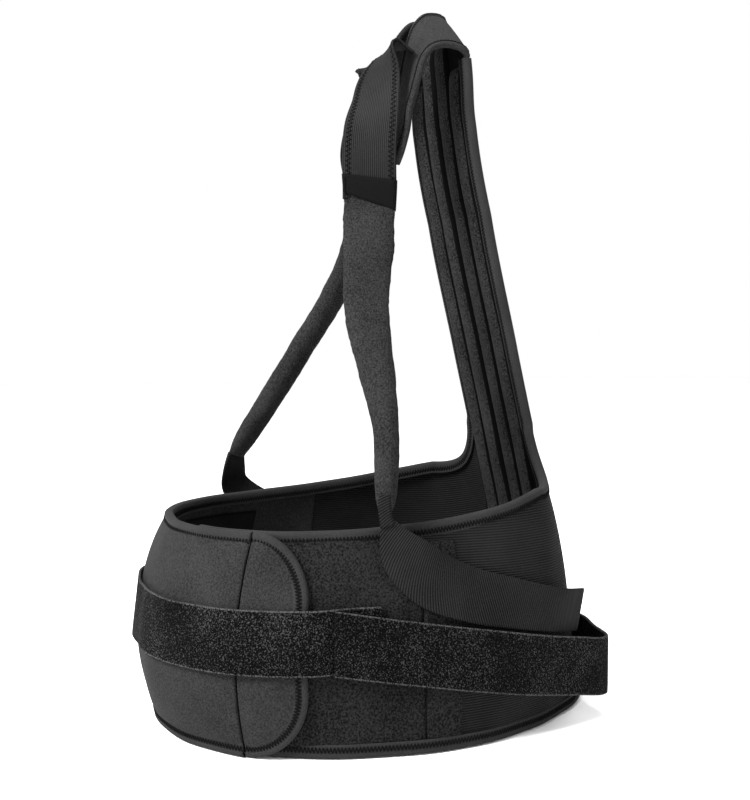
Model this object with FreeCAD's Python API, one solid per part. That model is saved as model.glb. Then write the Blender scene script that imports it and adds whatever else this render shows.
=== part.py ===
import FreeCAD, Part
import os
from math import cos, pi, sin, sqrt
from FreeCAD import Vector

# Back brace: a lumbar belt, a stiffened back panel and two shoulder straps.
# Millimetres, +Z up, +X towards the wearer's left, -Y towards the wearer's front.
# The brace is drawn about the middle of its waist and moved at the end by ORIGIN_Y,
# so that the origin lies under the centre of the whole object, on the surface it stands on.

# ---- Driving dimensions -------------------------------------------------------------------
ORIGIN_Y = 15.0            # from the middle of the waist to the middle of the whole object

PANEL_THICK = 5.0          # foam laminate of the belt panels
ELASTIC_THICK = 3.6        # ribbed elastic of the side panels
EDGE_HIGH = 3.0            # how far the folded edge binding stands past a panel's edge
EDGE_THICK = 5.6           # across the folded edge binding
HOOK_THICK = 0.8           # hook patch
PATCH_THICK = 1.8          # fastening patch on the back
STAY_THICK = 1.0           # flat spring stay
STAY_WIDE = 9.0
POCKET_THICK = 1.0         # cloth sewn over a stay
STAY_GAP = 0.2             # between a stay and the cloth on each side of it

FRONT_HIGH = 158.0         # belt height at the front
BACK_RISE = 32.0           # how much higher the belt is at the back
FRONT_Y = -170.0           # where the rise starts
RISE_LENGTH = 300.0        # run over which it rises

ARMHOLE_R = 45.0           # curve from the belt's top edge into the back panel's side
ARMHOLE_X = 105.0          # where that curve starts
ARMHOLE_TURN = 1.49        # how far it turns, in radians, before it meets the back panel

BACK_TOP = 558.0           # top of the back panel, at the neck
SHOULDER_LOW = 522.0       # where its sides start to slope in to the neck
NECK_HALF = 13.0
COVER_THICK = 1.2          # outer cloth, foam and lining of the back panel
FOAM_THICK = 3.0
LINING_THICK = 0.8
RIB_HALF = (9.0, 12.0, 12.0, 9.0)      # half widths of the padded ribs, from right to left
RIB_X = (-39.0, -14.5, 14.5, 39.0)     # their centre lines
RIB_HIGH = 5.0                         # how far a rib stands off the lining
RIB_LOW = 14.0
RIB_TOP = (518.0, 540.0, 540.0, 518.0)

HIDDEN_END = 0.95          # ring position where the left front panel ends under the right one
SIDE_START = 3.78          # ring position where the side elastic starts
OVERLAP = 6.2              # outer front layer lies this far outside the inner one
FLAP_SEAM = 1.90           # ring positions, explained at belt()
FLAP_END = 2.64
FLAP_R = 48.0              # rounded corners of the flap
FLAP_MM = 66.0             # arc length of one ring step at the flap

PULL_WIDE = 46.0           # pull straps
PULL_THICK = 2.6
WEB_THICK = 1.8            # tail webbing
BAND_WIDE = 42.0           # shoulder elastic
BAND_THICK = 1.6
TAB_THICK = 1.6
YOKE_THICK = 4.0
JOINT_GAP = 1.2            # clear gap between a moving strap and the piece it hinges on
PULL_HIGH = 86.0           # height of the right pull strap's centre line
PULL_GAP = 0.042           # belt stations left clear where the right pull strap hinges
PULL_START = 0.28          # ring position where its free part starts
SEW_GAP = 0.05             # between pieces of cloth that lie face to face
WIDE_GAP = 0.2             # the same where their curves differ a little

# Plan outlines of the belt, front centre to back centre on the left side, then mirrored.
LOW = [(0, -176), (62, -166), (112, -130), (140, -72), (150, -2), (136, 58), (108, 112), (60, 160), (0, 170)]
MIDDLE = [(0, -188), (64, -178), (114, -138), (138, -78), (144, 0), (138, 70), (110, 118), (60, 142), (0, 145)]
TOP = [(0, -166), (55, -157), (98, -122), (120, -68), (128, 0), (122, 62), (98, 104), (58, 122), (0, 124)]

# Side view of the back panel's middle surface: height, then distance back at the centre line.
BACK_SIDE = [(0, 170), (96, 145), (192, 124), (300, 99.5), (400, 77), (470, 63.5), (512, 59), (560, 54)]
BACK_BOW = [(0, 10), (96, 3), (192, 2), (300, 2), (400, 2), (470, 2), (512, 1)]
BACK_HALF = [(0, 61.4), (96, 61.2), (192, 58.9), (240, 57.0), (330, 57), (430, 57), (512, 57)]


# ---- Curves -------------------------------------------------------------------------------
def smooth(points, t, closed=False):
    """Point at position t on the smooth curve that passes through points at t = 0, 1, 2 ..."""
    count = len(points)
    last = count if closed else count - 1
    start = min(int(t // 1), last - 1) if not closed else int(t // 1)
    f = t - start

    def take(k):
        return points[k % count] if closed else points[max(0, min(count - 1, k))]

    a, b, c, d = (take(start + k) for k in (-1, 0, 1, 2))
    return tuple(
        0.5 * (2 * q + (r - p) * f + (2 * p - 5 * q + 4 * r - s) * f * f + (3 * q - p - 3 * r + s) * f ** 3)
        for p, q, r, s in zip(a, b, c, d))


def profile(table, z):
    """Value at height z of a smooth curve given as (height, value) pairs."""
    for k in range(len(table) - 1):
        if z <= table[k + 1][0] or k == len(table) - 2:
            f = (z - table[k][0]) / (table[k + 1][0] - table[k][0])
            return smooth([(v,) for _, v in table], k + min(1.0, max(0.0, f)))[0]


def through(rows, step):
    """Rows of numbers refined to about step apart; the first three of a row are its position."""
    gaps = [max(1e-6, sqrt(sum((q - p) ** 2 for p, q in zip(a[:3], b[:3])))) for a, b in zip(rows, rows[1:])]
    slopes = [[(q - p) / gap for p, q in zip(a, b)] for a, b, gap in zip(rows, rows[1:], gaps)]
    tangents = [slopes[0]]
    for k in range(1, len(rows) - 1):
        f = gaps[k] / (gaps[k - 1] + gaps[k])
        tangents.append([f * p + (1 - f) * q for p, q in zip(slopes[k - 1], slopes[k])])
    tangents.append(slopes[-1])
    result = []
    for k, gap in enumerate(gaps):
        count = max(1, round(gap / step))
        for j in range(count):
            t = j / count
            h00, h10 = 2 * t ** 3 - 3 * t * t + 1, t ** 3 - 2 * t * t + t
            h01, h11 = 3 * t * t - 2 * t ** 3, t ** 3 - t * t
            result.append([h00 * p + h10 * gap * m + h01 * q + h11 * gap * n for p, m, q, n in
                           zip(rows[k], tangents[k], rows[k + 1], tangents[k + 1])])
    return result + [list(rows[-1])]


def ease(a, b, t):
    """0 up to a, 1 from b on, smooth between."""
    f = min(1.0, max(0.0, (t - a) / (b - a)))
    return f * f * (3 - 2 * f)


def spread(a, b, count):
    return [a + (b - a) * k / (count - 1) for k in range(count)]


# ---- The belt's surface -------------------------------------------------------------------
def ring(half):
    return half + [(-x, y) for x, y in reversed(half[1:-1])]


RINGS = [ring(LOW), ring(MIDDLE), ring(TOP)]


def top_height(s):
    y = smooth(RINGS[2], s, True)[1]
    rise = min(1.0, max(0.0, (y - FRONT_Y) / RISE_LENGTH))
    return FRONT_HIGH + BACK_RISE * rise ** 3


def belt_plan(s, z):
    low, middle, top = (smooth(r, s, True) for r in RINGS)
    v = z / top_height(s)
    if v <= 1:
        weights = ((1 - v) * (1 - 2 * v), 4 * v * (1 - v), v * (2 * v - 1))
    else:
        weights = (v - 1, -4 * (v - 1), 1 + 3 * (v - 1))
    return [sum(w * p[k] for w, p in zip(weights, (low, middle, top))) for k in (0, 1)]


def belt(s, z, out=0.0):
    """Point on the belt at ring position s: 0 front centre, 4 left side, 8 back, 12 right side.

    out is the distance outside the middle surface, measured level.
    """
    x, y = belt_plan(s, z)
    x0, y0 = belt_plan(s - 0.04, z)
    x1, y1 = belt_plan(s + 0.04, z)
    size = sqrt((x1 - x0) ** 2 + (y1 - y0) ** 2)
    return Vector(x + out * (y1 - y0) / size, y - out * (x1 - x0) / size, z)


def ring_at_x(x):
    """Ring position at the left back corner where the top outline has this x."""
    a, b = 5.0, 7.2
    for _ in range(30):
        middle = (a + b) / 2
        if smooth(RINGS[2], middle, True)[0] > x:
            a = middle
        else:
            b = middle
    return a


def armhole_point(angle, radius):
    """Ring position and height on the armhole curve: 0 at the belt's edge, pi / 2 at the back panel."""
    s = ring_at_x(ARMHOLE_X - radius * sin(angle))
    return s, top_height(ring_at_x(ARMHOLE_X)) + ARMHOLE_R - radius * cos(angle)


def back(x, z, out=0.0):
    """Point on the back panel; out is the distance behind its middle surface, measured level."""
    half = profile(BACK_HALF, z)
    return Vector(x, profile(BACK_SIDE, z) - profile(BACK_BOW, z) * (x / half) ** 2 + out, z)


# ---- Solids -------------------------------------------------------------------------------
def curve(points):
    if len(points) == 2:
        return Part.makeLine(points[0], points[1])
    line = Part.BSplineCurve()
    line.interpolate(points)
    return line.toShape()


def layer(lines, ruled=False):
    """Solid between pairs of outer and inner lines, lofted from pair to pair."""
    wires = [Part.Wire([curve(outer), Part.makeLine(outer[-1], inner[-1]),
                        curve(inner[::-1]), Part.makeLine(inner[0], outer[0])]) for outer, inner in lines]
    faces = Part.makeLoft(wires, False, ruled).Faces
    for outer, inner in (lines[0], lines[-1]):
        faces += Part.makeRuledSurface(curve(outer), curve(inner)).Faces
    shell = Part.makeShell(faces)
    shell.sewShape()
    solid = Part.makeSolid(shell)
    if solid.Volume < 0:
        solid.reverse()
    return solid


def belt_layer(stations, low, high, out, thick, rows=5):
    """Layer that follows the belt. low, high and out are functions of the ring position."""
    lines = []
    for s in stations:
        heights = spread(low(s), high(s), rows)
        lines.append(([belt(s, z, out(s) + thick / 2) for z in heights],
                      [belt(s, z, out(s) - thick / 2) for z in heights]))
    return layer(lines)


def back_layer(heights, left, right, out, thick, columns=5):
    """Layer that follows the back panel, with its sides at left(z) and right(z)."""
    lines = []
    for z in heights:
        xs = spread(right(z), left(z), columns)
        lines.append(([back(x, z, out + thick / 2) for x in xs],
                      [back(x, z, out - thick / 2) for x in xs]))
    return layer(lines)


def frames(stations, step, skew=False):
    """Centre, across and normal directions, width and thickness along a band.

    The across direction is square to the band's run, or left as it is given when skew is set.
    """
    rows = through([(*centre, *across, width, thick) for centre, across, width, thick in stations], step)
    result = []
    for k, row in enumerate(rows):
        before = Vector(*rows[max(0, k - 1)][:3])
        after = Vector(*rows[min(len(rows) - 1, k + 1)][:3])
        along = (after - before).normalize()
        across = Vector(*row[3:6]).normalize()
        normal = along.cross(across).normalize()
        result.append((Vector(*row[:3]), across if skew else normal.cross(along), normal, row[6], row[7]))
    return result


def band(stations, step=7.0, skew=False):
    """Flat band through stations of (centre, across direction, width, thickness)."""
    lines = []
    for centre, across, normal, width, thick in frames(stations, step, skew):
        side = across * (width / 2)
        face = normal * (thick / 2)
        lines.append(([centre - side + face, centre + side + face],
                      [centre - side - face, centre + side - face]))
    return layer(lines, ruled=True)


def padded(stations, shrink=0.0, trim=0, points=12, step=14.0):
    """Rounded padded strap through the same kind of stations, trim sections short at each end."""
    wires = []
    places = frames(stations, step)
    for centre, across, normal, width, thick in places[trim:len(places) - trim]:
        a = width / 2 - shrink
        b = thick / 2 - shrink
        outline = [centre + across * (a * cos(u)) + normal * (b * sin(u))
                   for u in spread(0, 2 * pi, points + 1)[:-1]]
        loop = Part.BSplineCurve()
        loop.interpolate(outline, PeriodicFlag=True)
        wires.append(Part.Wire(loop.toShape()))
    return Part.makeLoft(wires, True, True)


def mirrored(stations):
    """The same band on the wearer's right."""
    return [((-c[0], c[1], c[2]), (-w[0], w[1], w[2]), *rest) for c, w, *rest in stations]


PARTS = {}


def keep(name, shape):
    PARTS[name] = shape


def flat(value):
    return lambda s: value


# ---- Belt panels --------------------------------------------------------------------------
def outer_layer(s):
    """How far outside the ring the right front panel lies: it passes over the left one."""
    return OVERLAP * ease(14.2, 16.4, s)


def belt_edge(stations, out):
    """Folded binding that stands on the belt's top edge."""
    return belt_layer(stations, top_height, lambda s: top_height(s) + EDGE_HIGH, out, EDGE_THICK, rows=2)


def sole(first, last):
    """Folded binding under the belt's lower edge: a level strip, flat underneath."""
    rims = []
    for side in (1, -1):
        rim = [belt(s, EDGE_HIGH / 2, outer_layer(s) + side * EDGE_THICK / 2) for s in spread(first, last, 36)]
        rims.append([Vector(p.x, p.y, 0) for p in rim])
    outer, inner = rims
    outline = Part.Wire([curve(outer), Part.makeLine(outer[-1], inner[-1]),
                         curve(inner[::-1]), Part.makeLine(inner[0], outer[0])])
    return Part.Face(outline).extrude(Vector(0, 0, EDGE_HIGH))


def side_panel():
    """Ring positions and top heights of the left side panel, closer together where it turns up."""
    corner = ring_at_x(ARMHOLE_X)
    level = [(s, top_height(s)) for s in spread(SIDE_START, corner, 9)[:-1]]
    return level + [armhole_point(a, ARMHOLE_R) for a in spread(0, ARMHOLE_TURN, 8)]


def make_belt():
    base = flat(EDGE_HIGH)
    none = flat(0.0)
    corner = ring_at_x(ARMHOLE_X)
    keep("left_front_panel", belt_layer(
        spread(HIDDEN_END, SIDE_START - 0.03, 12), base, top_height, none, PANEL_THICK))
    keep("right_front_panel", belt_layer(
        spread(16 - SIDE_START + 0.03, 16 + FLAP_SEAM, 24), base, top_height, outer_layer, PANEL_THICK))
    left = side_panel()
    right = [(16 - s, high) for s, high in reversed(left)]
    for side, edge in (("left", left), ("right", right)):
        keep(side + "_side_elastic", belt_layer(
            [s for s, _ in edge], base, dict(edge).get, none, ELASTIC_THICK))
    keep("left_top_binding", belt_edge(spread(HIDDEN_END, corner - 0.02, 24), none))
    keep("right_top_binding", belt_edge(spread(16 - corner + 0.02, 16 + FLAP_SEAM, 40), outer_layer))
    path = [armhole_point(a, ARMHOLE_R - EDGE_HIGH / 2 - WIDE_GAP) for a in spread(0, ARMHOLE_TURN, 9)]
    armhole = [(tuple(belt(s, z)), tuple(belt(s, z, 1) - belt(s, z)), EDGE_THICK, EDGE_HIGH) for s, z in path]
    keep("left_armhole_binding", band(armhole))
    keep("right_armhole_binding", band(mirrored(armhole)))
    keep("left_bottom_binding", sole(HIDDEN_END, 7.98))
    keep("right_bottom_binding", sole(8.0, 16 + FLAP_SEAM))
    keep("closure_hook_patch", belt_layer(
        spread(13.0, 16 + FLAP_SEAM, 24), flat(16.0), flat(142.0),
        lambda s: outer_layer(s) - PANEL_THICK / 2 - HOOK_THICK / 2 - WIDE_GAP, HOOK_THICK))


def make_stays():
    """Flat spring stays in cloth pockets on the belt, one at each side and one at the closure."""
    places = {
        "left_side": (4.0, ELASTIC_THICK / 2),
        "right_side": (12.0, ELASTIC_THICK / 2),
        "closure": (16.9, OVERLAP + PANEL_THICK / 2),
    }
    step = STAY_WIDE / 2 / FLAP_MM
    for name, (s, surface) in places.items():
        keep(name + "_stay", belt_layer(
            spread(s - step, s + step, 3), flat(16.0), flat(146.0),
            flat(surface + STAY_THICK / 2 + STAY_GAP), STAY_THICK))
        keep(name + "_stay_pocket", belt_layer(
            spread(s - 2.4 * step, s + 2.4 * step, 3), flat(12.0), flat(150.0),
            flat(surface + STAY_THICK + POCKET_THICK / 2 + 2 * STAY_GAP), POCKET_THICK))


def make_flap():
    """Rounded end of the right front panel that opens about its stitched seam."""
    count = 9
    first = FLAP_SEAM + 0.03
    turn_s = FLAP_R / FLAP_MM
    turn = [FLAP_END - turn_s + turn_s * sin(pi / 2 * k / (count - 1)) for k in range(count)]
    stations = [first] + [s for s in turn if s > first + 0.02]

    def cut(s):
        reach = min(1.0, max(0.0, (s - FLAP_END + turn_s) / turn_s))
        return FLAP_R * (1 - sqrt(1 - reach * reach))

    low = lambda s: EDGE_HIGH + cut(s)
    high = lambda s: top_height(s) - cut(s)
    keep("front_flap", belt_layer(stations, low, high, flat(OVERLAP), PANEL_THICK))
    keep("flap_hook_patch", belt_layer(
        stations[:-1], lambda s: low(s) + 10, lambda s: high(s) - 10,
        flat(OVERLAP - PANEL_THICK / 2 - HOOK_THICK / 2 - SEW_GAP), HOOK_THICK))


# ---- Back panel ---------------------------------------------------------------------------
def shoulder_slopes():
    """Blocks that take the corners off the back panel's top, along the two shoulder seams."""
    half = BACK_HALF[-1][1]
    rate = (BACK_TOP - SHOULDER_LOW) / (half - NECK_HALF)
    blocks = []
    for sign in (1, -1):
        corners = [(half + 9, SHOULDER_LOW - 9 * rate), (half + 9, BACK_TOP + 9), (NECK_HALF, BACK_TOP + 9),
                   (NECK_HALF, BACK_TOP)]
        outline = [Vector(sign * x, 0, z) for x, z in corners + corners[:1]]
        blocks.append(Part.Face(Part.makePolygon(outline)).extrude(Vector(0, 120, 0)))
    return Part.makeCompound(blocks)


def make_back():
    heights = [EDGE_HIGH, 45, 96, 145, 192, 240, 300, 360, 420, 470, 515, BACK_TOP]
    right = lambda z: -profile(BACK_HALF, z)
    left = lambda z: profile(BACK_HALF, z)
    slopes = shoulder_slopes()
    cover_out = (FOAM_THICK + COVER_THICK) / 2 + SEW_GAP
    lining_out = -(FOAM_THICK + LINING_THICK) / 2 - SEW_GAP
    for name, out, thick in (("back_outer_cover", cover_out, COVER_THICK), ("back_foam", 0.0, FOAM_THICK),
                             ("back_lining", lining_out, LINING_THICK)):
        keep(name, back_layer(heights, left, right, out, thick).cut(slopes).Solids[0])
    lining_face = lining_out - LINING_THICK / 2
    for k, (x, half, top) in enumerate(zip(RIB_X, RIB_HALF, RIB_TOP), 1):
        levels = [RIB_LOW] + [z for z in heights[1:-1] if z < top - 10]
        stay_out = lining_face - STAY_THICK / 2 - STAY_GAP
        keep("back_stay_%d" % k, back_layer(
            levels + [top - 8], flat(x + STAY_WIDE / 2), flat(x - STAY_WIDE / 2), stay_out, STAY_THICK, columns=3))
        keep("back_rib_%d" % k, back_rib(levels + [top], x, half, lining_face - STAY_THICK - 2 * STAY_GAP))
    # The edge binding of the back panel, from the armhole curve to the yoke.
    edge_heights = [236, 270, 330, 400, 470, SHOULDER_LOW]
    for side, sign in (("left", 1), ("right", -1)):
        near = lambda z: sign * (profile(BACK_HALF, z) + WIDE_GAP)
        far = lambda z: sign * (profile(BACK_HALF, z) + EDGE_HIGH)
        keep(side + "_back_binding", back_layer(edge_heights, far, near, 0.0, EDGE_THICK, columns=2))
    keep("back_fastening_patch", back_layer(
        [192, 204, 216, 228], flat(52.0), flat(-52.0),
        cover_out + (COVER_THICK + PATCH_THICK) / 2 + SEW_GAP, PATCH_THICK))


def back_rib(heights, x, half, face):
    """Padded rib with a rounded inner face."""
    lines = []
    for z in heights:
        xs = spread(x - half, x + half, 5)
        crown = [RIB_HIGH * sqrt(1 - 0.92 * ((u - x) / half) ** 2) for u in xs]
        lines.append(([back(u, z, face) for u in xs], [back(u, z, face - c) for u, c in zip(xs, crown)]))
    return layer(lines)


# ---- Shoulders ----------------------------------------------------------------------------
YOKE = [
    ((35.9, 55.6, 541.1), (0.774, 0.049, -0.633), 57, YOKE_THICK),
    ((37.2, 54.0, 543.5), (0.774, 0.04, -0.633), 57, YOKE_THICK),
    ((37.6, 50.5, 545.8), (0.78, 0.02, -0.625), 57, YOKE_THICK),
    ((37.2, 45.0, 547.0), (0.79, 0.01, -0.61), 56.5, YOKE_THICK),
    ((36.8, 38.0, 546.6), (0.81, 0, -0.59), 56, YOKE_THICK),
    ((38, 28.5, 541.0), (0.86, -0.03, -0.51), 53, YOKE_THICK),
    ((40.3, 20.5, 528), (0.93, -0.08, -0.36), 50, YOKE_THICK),
    ((42, 15, 510), (0.956, -0.09, -0.28), 47, YOKE_THICK),
    ((44.5, 10.8, 495), (0.97, -0.08, -0.24), 42, YOKE_THICK),
    ((48, 6.3, 479), (0.98, -0.05, -0.19), 32, YOKE_THICK),
    ((51.5, 2, 461), (0.95, 0.25, -0.1), 19, YOKE_THICK),
    ((57, -6.5, 436), (0.6, 0.8, 0), 9, YOKE_THICK),
]
RIGHT_YOKE = YOKE[:8] + [
    ((43.5, 12.5, 495), (0.97, -0.08, -0.24), 40, YOKE_THICK),
    ((43, 13.5, 479), (0.98, -0.05, -0.19), 30, YOKE_THICK),
    ((42.5, 15, 461), (0.98, 0, -0.1), 18, YOKE_THICK),
    ((42, 16, 440), (1, 0, 0), 9, YOKE_THICK),
]
LEFT_ELASTIC = [
    ((39.0, 14.0, 528.5), (0.93, -0.1, -0.35), BAND_WIDE, BAND_THICK),
    ((36, 1, 531), (0.95, -0.17, 0.1), BAND_WIDE, BAND_THICK),
    ((37, -6, 511), (0.97, 0.12, 0.15), BAND_WIDE, BAND_THICK),
    ((47, -17, 487), (0.72, 0.68, 0.08), BAND_WIDE, BAND_THICK),
    ((55, -24, 458), (0.38, 0.92, 0), BAND_WIDE, BAND_THICK),
    ((55, -24.5, 408), (0.34, 0.94, 0), BAND_WIDE, BAND_THICK),
]
RIGHT_ELASTIC = [
    ((-39.5, 13.6, 528.5), (-0.93, -0.1, -0.35), BAND_WIDE, BAND_THICK),
    ((-36, 2, 530), (-0.95, -0.1, 0.1), BAND_WIDE, BAND_THICK),
    ((-38, -4, 511), (-0.97, 0.12, 0.1), BAND_WIDE, BAND_THICK),
    ((-46, -6, 487), (-0.8, 0.6, 0), BAND_WIDE, BAND_THICK),
    ((-50, 2, 458), (-0.45, 0.9, 0), BAND_WIDE, BAND_THICK),
    ((-50, 11, 424), (-0.34, 0.94, 0), BAND_WIDE, BAND_THICK),
]
LEFT_STRAP = [
    ((55.5, -25.0, 400), (0.34, 0.94, 0), 38, 3),
    ((57.0, -25.5, 395), (0.34, 0.94, 0), 40, 9),
    ((63, -28, 375), (0.34, 0.94, 0), 39, 12),
    ((85, -37, 314), (0.34, 0.94, 0), 33, 15),
    ((105, -37, 277), (0.34, 0.94, 0), 27, 17),
    ((125, -37, 233), (0.34, 0.94, 0), 19, 18),
    ((134, -40, 200), (0.34, 0.94, 0), 17, 17),
    ((138, -42, 180), (0.34, 0.94, 0), 12, 9),
    ((139.5, -42.5, 174), (0.34, 0.94, 0), 7, 5),
]
RIGHT_STRAP = [
    ((-50.3, 11.6, 417.5), (-0.34, 0.94, 0), 38, 3),
    ((-53, 11, 409), (-0.34, 0.94, 0), 40, 9),
    ((-60, 10, 394), (-0.34, 0.94, 0), 38, 12),
    ((-72, 6, 373), (-0.34, 0.94, 0), 32, 15),
    ((-85, -3, 347), (-0.34, 0.94, 0), 26, 17),
    ((-100, -35, 289), (-0.34, 0.94, 0), 22, 19),
    ((-115, -69, 230), (-0.34, 0.94, 0), 21, 18),
    ((-122, -84, 204), (-0.34, 0.94, 0), 19, 13),
    ((-125, -89, 194), (-0.34, 0.94, 0), 15, 6),
]


def tab(elastic, reach, drop):
    """Two plies of tape with the end of the elastic between them, reaching drop past its end."""
    places = frames(elastic, 4.0, True)
    end = places[-1][0]
    places = [place for place in places if (place[0] - end).Length < reach]
    along = (end - places[-2][0]).normalize()
    _, across, normal, width, _ = places[-1]
    places.append((end + along * drop, across, normal, width, 0))
    plies = []
    for side in (1, -1):
        offset = side * (BAND_THICK / 2 + TAB_THICK / 2 + WIDE_GAP)
        plies.append(band([(tuple(centre + normal * offset), tuple(across), BAND_WIDE + 2, TAB_THICK)
                           for centre, across, normal, _, _ in places], step=4.0, skew=True))
    return Part.makeCompound(plies)


def make_shoulders():
    keep("left_yoke", band(YOKE, skew=True))
    keep("right_yoke", band(mirrored(RIGHT_YOKE), skew=True))
    keep("left_shoulder_elastic", band(LEFT_ELASTIC, skew=True))
    keep("right_shoulder_elastic", band(RIGHT_ELASTIC))
    keep("left_strap_tab", tab(LEFT_ELASTIC, 17.0, 3.0))
    keep("right_strap_tab", tab(RIGHT_ELASTIC, 17.0, 3.0))
    for side, stations in (("left", LEFT_STRAP), ("right", RIGHT_STRAP)):
        shells = [padded(stations).Shells[0], padded(stations, 1.5, 1).Shells[0].reversed()]
        keep(side + "_strap_cover", Part.makeSolid(Part.makeCompound(shells)))
        keep(side + "_strap_foam", padded(stations, 2.3, 2))


# ---- Tails and pull straps ----------------------------------------------------------------
def laid(s, z, out, width, thick):
    """Station of a strap that lies along the belt, tilted as the belt is there."""
    return tuple(belt(s, z, out)), tuple((belt(s, z + 10) - belt(s, z - 10)).normalize()), width, thick


def tails():
    """Webbing tails below the padded straps, each lying against the outside of the belt."""
    left = [
        ((139.8, -42.3, 170.7), (0.34, 0.94, 0), 7, 4),
        ((141.5, -39, 162), (0.3, 0.9, 0.2), 18, 2.5),
        ((145, -32, 148), (0.2, 0.6, 0.7), 34, WEB_THICK),
        ((147.5, -18, 133), (0.1, 0.3, 0.9), 41, WEB_THICK),
        laid(4.3, 112.5, 6.3, 40, WEB_THICK),
        laid(4.75, 104, 6.3, 37.5, WEB_THICK),
        laid(5.15, 97.5, 6.5, 35, WEB_THICK),
        ((133, 104, 92), (0, 0.2, 1), 34, WEB_THICK),
        ((119, 128, 87.5), (0, 0.2, 1), 34, WEB_THICK),
    ]
    right = [
        ((-126.3, -89.5, 187.5), (-0.34, 0.94, 0), 12, 4),
        ((-128.5, -89, 181), (-0.3, 0.9, 0.2), 26, 2.5),
        ((-135, -86, 168), (-0.2, 0.8, 0.5), 34, WEB_THICK),
        laid(12.75, 148, 9.0, 40, WEB_THICK),
        laid(12.3, 139, 7.5, 42, WEB_THICK),
        laid(11.8, 134, 7.0, 42, WEB_THICK),
        laid(11.3, 132, 6.5, 42, WEB_THICK),
    ]
    return {"left": left, "right": right}


def pull(s, z, out):
    return laid(s, z, out, PULL_WIDE, PULL_THICK)


def pull_free(x, y, z, tilt=(0, 0, 1)):
    return (x, y, z), tilt, PULL_WIDE, PULL_THICK


def pull_sewn(x, z):
    """Station of a pull strap where it is sewn to the outside of the back panel."""
    place = back(x, z, (PANEL_THICK + PULL_THICK) / 2 + 0.8)
    return pull_free(*place, tuple((back(x, z + 10) - back(x, z - 10)).normalize()))


def make_straps():
    for side, stations in tails().items():
        keep(side + "_tail_webbing", band(stations))
    # Left pull strap: back panel to the rear fold, then forward along the left side.
    keep("left_pull_strap_rear", band([
        pull_sewn(28, 46), pull_sewn(42, 46), pull_free(64, 161, 45.5), pull_free(90, 157, 43.5),
        pull_free(117.6, 152.8, 41)], skew=True))
    keep("left_pull_strap", band([
        pull_free(121.6, 150 - JOINT_GAP, 41), pull_free(131, 124, 46), pull_free(140, 98, 51),
        pull(5.0, 56.5, 9.0), pull(4.6, 62, 8.4), pull(4.2, 67.5, 8.2), pull(3.8, 73, 8.2),
        pull(3.5, 77.5, 8.4), pull(3.25, 81.5, 10.2), pull(2.95, 86, 13.4)], skew=True))
    # Right pull strap: back panel round the right side, then over the flap.
    round_side = [pull(s, PULL_HIGH, 5.9 + outer_layer(s))
                  for s in spread(9.5, 16 + PULL_START - PULL_GAP, 22)]
    sewn = [pull_sewn(x, PULL_HIGH) for x in (-28, -43, -58)]
    keep("right_pull_strap_rear", band(sewn + round_side, skew=True))
    keep("right_pull_strap", band([
        pull(s, PULL_HIGH, OVERLAP + 6.4 - 7.8 * ease(2.75, 3.2, s))
        for s in (PULL_START, 0.6, 1.0, 1.4, 1.8, 2.2, 2.5, 2.75, 2.9, 3.05, 3.2, 3.4)], skew=True))


# ---- Build and write ----------------------------------------------------------------------
make_belt()
make_stays()
make_flap()
make_back()
make_shoulders()
make_straps()

os.makedirs("parts", exist_ok=True)
for name, shape in PARTS.items():
    placed = shape.copy()
    placed.translate(Vector(0, ORIGIN_Y, 0))
    placed.exportStep("parts/%s.step" % name)
    print(name, "valid" if placed.isValid() else "INVALID", round(placed.Volume))
whole = Part.makeCompound(list(PARTS.values())).BoundBox
print("X %.1f %.1f  Y %.1f %.1f  Z %.1f %.1f" % (
    whole.XMin, whole.XMax, whole.YMin + ORIGIN_Y, whole.YMax + ORIGIN_Y, whole.ZMin, whole.ZMax))
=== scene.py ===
from math import atan, pi, radians

import bmesh
import bpy
import numpy as np
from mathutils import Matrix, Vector, noise


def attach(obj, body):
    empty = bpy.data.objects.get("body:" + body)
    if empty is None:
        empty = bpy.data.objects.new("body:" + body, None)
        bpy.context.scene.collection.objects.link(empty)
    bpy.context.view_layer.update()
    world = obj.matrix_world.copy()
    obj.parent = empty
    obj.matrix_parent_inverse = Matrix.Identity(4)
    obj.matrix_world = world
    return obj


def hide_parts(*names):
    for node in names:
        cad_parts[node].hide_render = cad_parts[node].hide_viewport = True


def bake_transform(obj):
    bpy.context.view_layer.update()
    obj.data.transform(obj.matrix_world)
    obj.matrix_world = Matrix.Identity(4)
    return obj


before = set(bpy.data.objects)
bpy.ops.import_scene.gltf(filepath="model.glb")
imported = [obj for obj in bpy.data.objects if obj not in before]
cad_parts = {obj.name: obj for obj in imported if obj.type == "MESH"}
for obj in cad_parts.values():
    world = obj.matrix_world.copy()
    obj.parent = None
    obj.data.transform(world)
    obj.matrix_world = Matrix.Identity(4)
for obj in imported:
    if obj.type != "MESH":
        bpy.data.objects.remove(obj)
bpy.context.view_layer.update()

# Shapes are worked out in millimetres in the frame of the design, then moved by ORIGIN_Y
# and scaled to metres when a mesh is made.
MM = 0.001
ORIGIN_Y = 15.0
ROOT = "belt_and_back"

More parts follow.
